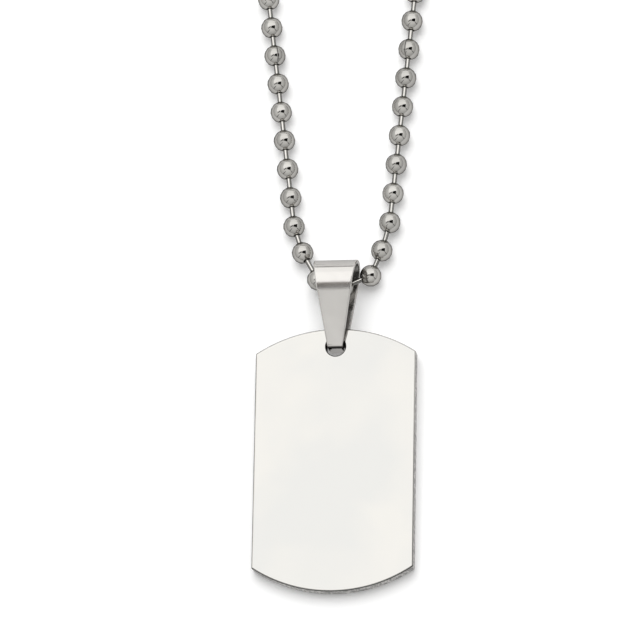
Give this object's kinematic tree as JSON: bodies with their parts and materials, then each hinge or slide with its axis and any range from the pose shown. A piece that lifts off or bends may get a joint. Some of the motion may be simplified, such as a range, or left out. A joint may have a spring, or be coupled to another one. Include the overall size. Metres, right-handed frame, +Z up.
{
  "type": "identification dog tag necklace",
  "caption": "Flat steel tag with bowed ends on a tapered folded bail, hung on a ball chain that closes in a sleeve clasp; laid flat.",
  "frame": {"origin": "on the table, under the middle of the whole necklace as it lies", "axes": "+Y runs from the tag along the chain towards the clasp, +X across the tag to its right as seen from its face, +Z up from the table"},
  "size_m": [0.0609, 0.2931, 0.0048],
  "materials": {
    "tag_steel": "mirror polished",
    "bail_steel": "mirror polished",
    "chain_steel": "polished",
    "clasp_steel": "polished"
  },
  "bodies": {
    "root": {"tag": "tag_steel", "bail": "bail_steel", "left_chain": "chain_steel", "right_chain": "chain_steel", "clasp": "clasp_steel"}
  },
  "joints": []
}
